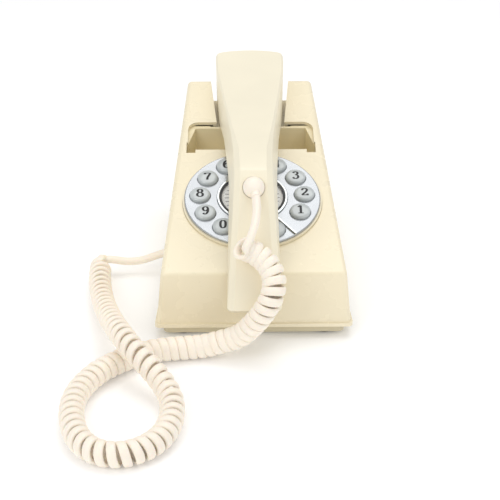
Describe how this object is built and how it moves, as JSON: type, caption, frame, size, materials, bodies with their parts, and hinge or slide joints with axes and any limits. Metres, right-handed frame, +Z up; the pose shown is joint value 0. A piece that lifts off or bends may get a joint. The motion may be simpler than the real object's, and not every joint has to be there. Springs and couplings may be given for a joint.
{
  "type": "corded telephone",
  "caption": "Desk telephone with a wedge body, round push-button dial, cranked lift-off handset lying along its top and a curly handset cord.",
  "frame": {"origin": "on the table, under the middle of the telephone without its cord", "axes": "+X to the user's right, +Y from the user towards the back, +Z up"},
  "size_m": [0.1683, 0.3333, 0.1149],
  "materials": {
    "body": "glossy moulded ivory plastic",
    "base": "satin moulded cream plastic",
    "recess": "satin moulded ivory plastic",
    "foot": "black rubber",
    "screw": "zinc plated steel",
    "handset": "glossy moulded ivory plastic",
    "dial_plate": "silver-grey lacquered metal",
    "key": "glossy silver-grey plastic with black numerals",
    "chrome": "polished chrome",
    "dark_trim": "black plastic",
    "card": "white coated card",
    "window": "clear acrylic",
    "cord": "satin cream vinyl",
    "board": "green circuit board",
    "inner_dark": "black moulded plastic",
    "inner_metal": "plain sheet steel",
    "mat": "grey silicone rubber"
  },
  "bodies": {
    "base": {"upper_case": "body", "base_pan": "base", "rubber_feet": "foot", "base_screws": "screw", "finger_recess": "recess", "dial_bezel": "body", "dial_plate": "dial_plate", "finger_stop": "dark_trim", "centre_ring": "chrome", "card_ring": "dark_trim", "number_card": "card", "card_window": "window", "key_mat": "mat", "keypad_board": "board", "main_board": "board", "ringer": "inner_metal", "ballast_weight": "inner_metal", "hook_switch": "inner_dark", "cord_jack": "inner_dark", "line_jack": "inner_dark", "ringer_switch": "inner_dark", "cord_coil_floor": "cord", "cord_lead_base": "cord", "cord_plug": "cord"},
    "handset": {"handset_shell": "handset", "handset_cover": "handset", "handset_screws": "screw", "ear_cap": "handset", "receiver_capsule": "inner_dark", "microphone": "inner_dark", "handset_weight": "inner_metal", "strain_relief": "cord", "cord_lead_handset": "cord", "cord_coil_hanging": "cord"},
    "hook_button": {"hook_plunger": "body"},
    "ringer_slider": {"ringer_knob": "dark_trim"},
    "button_1": {"key_1": "key"},
    "button_2": {"key_2": "key"},
    "button_3": {"key_3": "key"},
    "button_4": {"key_4": "key"},
    "button_5": {"key_5": "key"},
    "button_6": {"key_6": "key"},
    "button_7": {"key_7": "key"},
    "button_8": {"key_8": "key"},
    "button_9": {"key_9": "key"},
    "button_0": {"key_0": "key"},
    "button_star": {"key_star": "key"},
    "button_hash": {"key_hash": "key"}
  },
  "joints": [
    {"name": "handset_lift", "type": "slide", "parent": "base", "child": "handset", "axis": [0, 0, 1], "range_m": [0, 0.06]},
    {"name": "hook_press", "type": "slide", "parent": "base", "child": "hook_button", "axis": [0, 0, 1], "range_m": [0, 0.004]},
    {"name": "ringer_slide", "type": "slide", "parent": "base", "child": "ringer_slider", "axis": [-1, 0, 0], "range_m": [0, 0.003]},
    {"name": "key_press_1", "type": "slide", "parent": "base", "child": "button_1", "axis": [0, 0.3007, -0.9537], "range_m": [0, 0.0016], "stiffness_N_per_m": 300},
    {"name": "key_press_2", "type": "slide", "parent": "base", "child": "button_2", "axis": [0, 0.3007, -0.9537], "range_m": [0, 0.0016], "stiffness_N_per_m": 300},
    {"name": "key_press_3", "type": "slide", "parent": "base", "child": "button_3", "axis": [0, 0.3007, -0.9537], "range_m": [0, 0.0016], "stiffness_N_per_m": 300},
    {"name": "key_press_4", "type": "slide", "parent": "base", "child": "button_4", "axis": [0, 0.3007, -0.9537], "range_m": [0, 0.0016], "stiffness_N_per_m": 300},
    {"name": "key_press_5", "type": "slide", "parent": "base", "child": "button_5", "axis": [0, 0.3007, -0.9537], "range_m": [0, 0.0016], "stiffness_N_per_m": 300},
    {"name": "key_press_6", "type": "slide", "parent": "base", "child": "button_6", "axis": [0, 0.3007, -0.9537], "range_m": [0, 0.0016], "stiffness_N_per_m": 300},
    {"name": "key_press_7", "type": "slide", "parent": "base", "child": "button_7", "axis": [0, 0.3007, -0.9537], "range_m": [0, 0.0016], "stiffness_N_per_m": 300},
    {"name": "key_press_8", "type": "slide", "parent": "base", "child": "button_8", "axis": [0, 0.3007, -0.9537], "range_m": [0, 0.0016], "stiffness_N_per_m": 300},
    {"name": "key_press_9", "type": "slide", "parent": "base", "child": "button_9", "axis": [0, 0.3007, -0.9537], "range_m": [0, 0.0016], "stiffness_N_per_m": 300},
    {"name": "key_press_0", "type": "slide", "parent": "base", "child": "button_0", "axis": [0, 0.3007, -0.9537], "range_m": [0, 0.0016], "stiffness_N_per_m": 300},
    {"name": "key_press_star", "type": "slide", "parent": "base", "child": "button_star", "axis": [0, 0.3007, -0.9537], "range_m": [0, 0.0016], "stiffness_N_per_m": 300},
    {"name": "key_press_hash", "type": "slide", "parent": "base", "child": "button_hash", "axis": [0, 0.3007, -0.9537], "range_m": [0, 0.0016], "stiffness_N_per_m": 300}
  ],
  "couplings": [
    {"joint": "hook_press", "follows": "handset_lift", "ratio": 0.066667}
  ]
}
